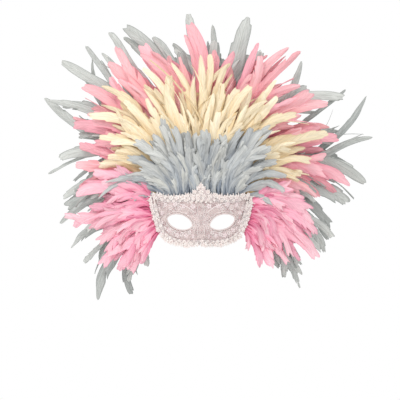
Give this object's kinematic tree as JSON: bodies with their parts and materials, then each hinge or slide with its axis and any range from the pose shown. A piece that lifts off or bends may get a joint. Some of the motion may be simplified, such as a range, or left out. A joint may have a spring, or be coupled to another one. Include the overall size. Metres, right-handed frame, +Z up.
{
  "type": "carnival feather headdress",
  "caption": "Half mask covered in lace with a beaded, scalloped edge, carrying tall fans of grey, pink and cream feathers that rise behind it like a crown, on an elastic strap.",
  "frame": {"origin": "the point of the mask's inner face on the bridge of the nose, at eye level", "axes": "+X to the right seen from the front, +Y back towards the wearer's head, +Z up"},
  "size_m": [0.584, 0.2552, 0.5017],
  "materials": {
    "mask_lace": "satin lace over a moulded base",
    "rim_braid": "fine pale braid",
    "bead_trim": "pearly beads on lace",
    "elastic": "woven elastic",
    "blue_grey_feather": "matt feather with a soft sheen",
    "rose_feather": "matt dyed feather",
    "cream_feather": "matt dyed feather",
    "pink_feather": "matt dyed feather",
    "pale_grey_feather": "matt feather with a soft sheen"
  },
  "bodies": {
    "root": {"mask_shell": "mask_lace", "eye_rim_left": "rim_braid", "eye_rim_right": "rim_braid", "brow_crest": "bead_trim", "lace_trim_brow_left": "bead_trim", "lace_trim_brow_right": "bead_trim", "lace_trim_temple_left": "bead_trim", "lace_trim_temple_right": "bead_trim", "lace_trim_cheek_left": "bead_trim", "lace_trim_cheek_right": "bead_trim", "elastic_strap": "elastic", "front_grey_fan": "blue_grey_feather", "side_pink_fan_left": "rose_feather", "side_pink_fan_right": "rose_feather", "cream_fan_left": "cream_feather", "cream_fan_middle": "cream_feather", "cream_fan_right": "cream_feather", "pink_fan_left": "pink_feather", "pink_fan_middle": "pink_feather", "pink_fan_right": "pink_feather", "back_grey_fan_left": "pale_grey_feather", "back_grey_fan_middle": "pale_grey_feather", "back_grey_fan_right": "pale_grey_feather"}
  },
  "joints": []
}
